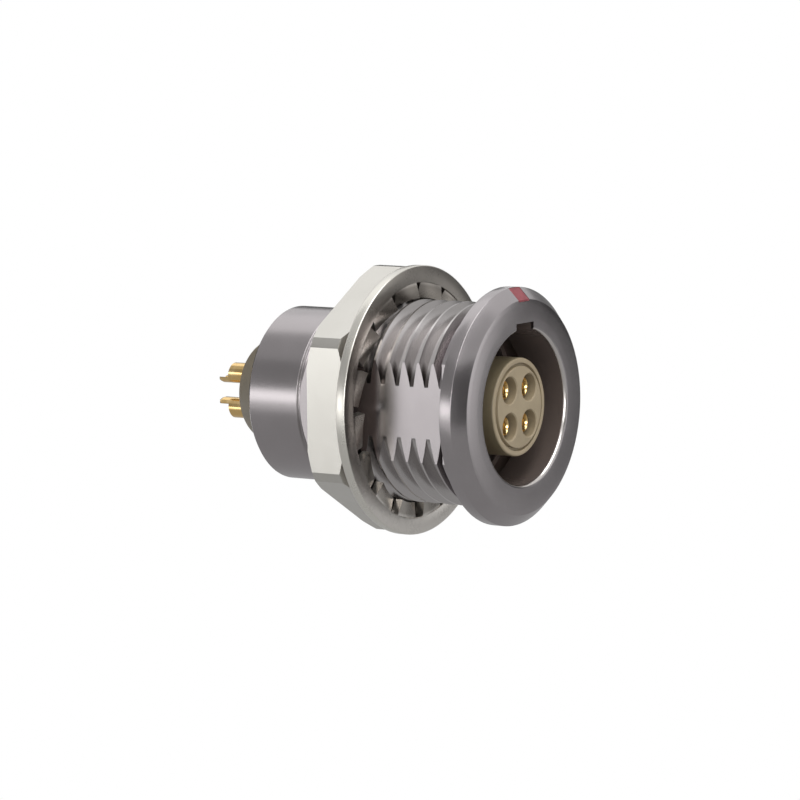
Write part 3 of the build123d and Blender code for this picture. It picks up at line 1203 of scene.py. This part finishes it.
# %% Red paint
red = Finish("red_paint", {"Specular IOR Level": 0.4})
pits = red.noise(4.0, 4.0)
streak = red.rise(pits, 0.35, 0.65)
red.set(
    Base_Color=red.mix(streak, (0.21, 0.032, 0.042, 1), (0.27, 0.055, 0.066, 1)),
    Roughness=0.42 + 0.15 * (pits - 0.5),
    Normal=red.bump(pits, 0.25, 0.02),
)
count_nodes(red)

# %% [markdown]
# ## Which piece wears what
#
# The new pieces get their finish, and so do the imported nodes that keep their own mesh: the
# earthing crown, the retaining ring and the spring clips on the contacts. They sit so deep in
# the part that their packed facets don't show.

# %% Hand out the finishes
def wear_finish(piece, finish):
    """Gives a piece one finish in place of what it had."""
    piece.data.materials.clear()
    piece.data.materials.append(finish.material)
    print(f"{piece.name} wears {finish.material.name}")


wear_finish(shell, chrome)
wear_finish(mark, red)
wear_finish(hex_nut, nickel)
wear_finish(lock_washer, plate)
wear_finish(front, beige)
wear_finish(rear, olive)
for number in range(1, len(PLACES) + 1):
    wear_finish(bpy.data.objects[f"contact_gilt_{number}"], gilt)
    wear_finish(frame["nodes"][f"contact_clip_{number}"], clip)
wear_finish(frame["nodes"]["earthing_crown"], spring)
wear_finish(frame["nodes"]["retaining_ring"], steel)

# %% [markdown]
# ## The stage
#
# A pale table far enough below that the part's shadow stays out of the picture, and a white
# surrounding. The white comes from the surroundings' colour alone, which the camera and the
# metal both see, and not from more light. A brighter world would give the same white, but it
# would wash out every colour on the part.

# %% White surroundings
def sees_white(tree):
    """1 for rays of the camera, of reflections and of glass, and 0 for the others."""
    ray = tree.nodes.new("ShaderNodeLightPath")
    seen = ray.outputs["Is Camera Ray"]
    for kind in ("Is Glossy Ray", "Is Transmission Ray"):
        either = tree.nodes.new("ShaderNodeMath")
        either.operation = "MAXIMUM"
        tree.links.new(seen, either.inputs[0])
        tree.links.new(ray.outputs[kind], either.inputs[1])
        seen = either.outputs[0]
    return seen


world = bpy.data.worlds.new("surroundings")
world.use_nodes = True
bpy.context.scene.world = world
sky = world.node_tree
blend = sky.nodes.new("ShaderNodeMix")
blend.data_type = "RGBA"
sky.links.new(sees_white(sky), blend.inputs["Factor"])
blend.inputs[6].default_value = (0.55, 0.55, 0.56, 1)
blend.inputs[7].default_value = (1, 1, 1, 1)
sky.links.new(blend.outputs[2], sky.nodes["Background"].inputs["Color"])
sky.nodes["Background"].inputs["Strength"].default_value = 1.0
print("surroundings:", len(sky.nodes), "nodes")

# %% Table
TABLE_Z = -0.045
TABLE_R = 0.6
WHITE = (1, 1, 1, 1)

only(None)
bpy.ops.mesh.primitive_circle_add(
    vertices=96, radius=TABLE_R, fill_type="NGON", location=(0, middle.y, TABLE_Z)
)
table = bpy.context.object
table.name = "table"
table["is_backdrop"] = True
pale = Finish("pale_table", {"Roughness": 0.8, "Base Color": (0.55, 0.55, 0.55, 1)})
away = pale.node("ShaderNodeVectorMath", {"operation": "LENGTH"}, {0: pale.place}, "Value")
far = pale.rise_mm(away, 30, 75)
glow = pale.node("ShaderNodeEmission", values={"Color": WHITE, "Strength": 1.0})
seen = Flow(pale, sees_white(pale.tree))
top_coat = pale.node(
    "ShaderNodeMixShader", values={0: far * seen, 1: Flow(pale, pale.shader.outputs[0]), 2: glow}
)
pale.plug(top_coat, pale.tree.nodes["Material Output"].inputs["Surface"])
table.data.materials.append(pale.material)
print(f"table {-1000 * TABLE_Z:.0f} mm below the axis")

# %% [markdown]
# ## Lamps and cards
#
# Metal is mostly a picture of what stands round it, so its shape reads from large soft lamps
# with darker places between them. Three lamps light the part and show in the metal, and a
# fourth fills in from the front and doesn't show. A product photographer then holds grey
# cards round the part, each for one face: a dark one to deepen a surface, a light one to lift
# an edge. The cards here have a brightness of their own, and only reflections see them, so
# they give no light, cast no shadow and can be set one by one. Two are brighter than white,
# because only narrow edges and roundings mirror them.

# %% Lamps
def face_part(thing, towards, distance, roll=0):
    """Places a lamp or a card in a direction from the part, and faces it to the part."""
    away = Vector(towards).normalized()
    facing = away.to_track_quat("Z", "Y").to_matrix()
    thing.location = middle + away * distance
    thing.rotation_euler = (facing @ Matrix.Rotation(radians(roll), 3, "Z")).to_euler()


def lamp(name, towards, distance, size, brightness, on_metal=True, roll=0):
    """A flat soft lamp. Its brightness is 1 where it looks white in a mirror."""
    only(None)
    bpy.ops.object.light_add(type="AREA")
    made = bpy.context.object
    made.name = name
    made.data.shape = "RECTANGLE"
    made.data.size, made.data.size_y = size
    made.data.energy = brightness * pi * size[0] * size[1]
    made.visible_glossy = on_metal
    face_part(made, towards, distance, roll)
    print(f"{name}: brightness {brightness}, {size[0]} x {size[1]} m, {distance} m away")


lamp("lamp_left", (-0.83, 0.54, -0.09), 0.5, (0.24, 0.24), 1.95)
lamp("lamp_above", (0.20, 0.54, 0.88), 0.5, (0.40, 0.30), 0.4)
lamp("lamp_top", (-0.20, -0.32, 0.92), 0.5, (0.60, 0.16), 4.6, roll=50)
lamp("lamp_front", (-0.5, -1.0, 0.5), 0.6, (0.4, 0.4), 1.6, on_metal=False)


# %% Cards
def card(name, tone, size):
    """A card that only reflections show, with the brightness it shows there."""
    only(None)
    bpy.ops.mesh.primitive_plane_add(size=1)
    made = bpy.context.object
    made.name = name
    made.scale = (size[0], size[1], 1)
    made.visible_camera = False
    made.visible_diffuse = False
    made.visible_shadow = False
    made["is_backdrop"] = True
    black = {"Base Color": (0, 0, 0, 1), "Specular IOR Level": 0.0, "Emission Strength": 1.0}
    paper = Finish(name, black)
    paper.set(Emission_Color=(tone, tone, tone, 1))
    made.data.materials.append(paper.material)
    print(f"{name}: brightness {tone}, {size[0]} x {size[1]} m")
    return made


# Each row gives a card's name, brightness, size, direction from the part and distance.
CARDS = [
    ("card_left", 0.38, (0.5, 0.25), (-0.735, 0.54, 0.39), 0.42),
    ("card_high", 0.60, (0.30, 0.20), (-0.33, 0.54, 0.77), 0.42),
    ("card_front", 0.12, (0.17, 0.20), (-0.46, -0.88, 0.08), 0.20),
    ("card_glint", 8.0, (0.12, 0.40), (-0.87, -0.47, -0.06), 0.5),
    ("card_edge", 1.6, (0.07, 0.06), (0.68, -0.72, -0.02), 0.3),
    ("card_upper", 0.64, (0.16, 0.10), (-0.03, -0.67, 0.74), 0.22),
    ("card_right", 0.24, (0.20, 0.10), (0.995, -0.08, 0.08), 0.15),
    ("card_brow", 0.02, (0.044, 0.034), (0.88, -0.47, 0.08), 0.14),
    ("card_back", 0.05, (0.28, 0.26), (0.54, 0.83, -0.06), 0.3),
    ("card_teeth", 0.25, (0.10, 0.14), (0.40, -0.91, -0.12), 0.22),
]
for name, tone, size, towards, distance in CARDS:
    face_part(card(name, tone, size), towards, distance)
floor_card = card("card_floor", 0.48, (0.40, 0.36))
floor_card.location = (0.07, 0.02, TABLE_Z + 0.0015)

# %% [markdown]
# ## Last step
#
# The plain Standard view keeps colours as they are written. The box of the imported model and the
# box of what is shown here are printed side by side.

bpy.context.scene.view_settings.view_transform = "Standard"
seen_box = [list(corner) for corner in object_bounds()]
for label, corners in (("packed", cad_box), ("shown", seen_box)):
    print(label, [round(1000 * (b - a), 3) for a, b in zip(*corners)], "mm")
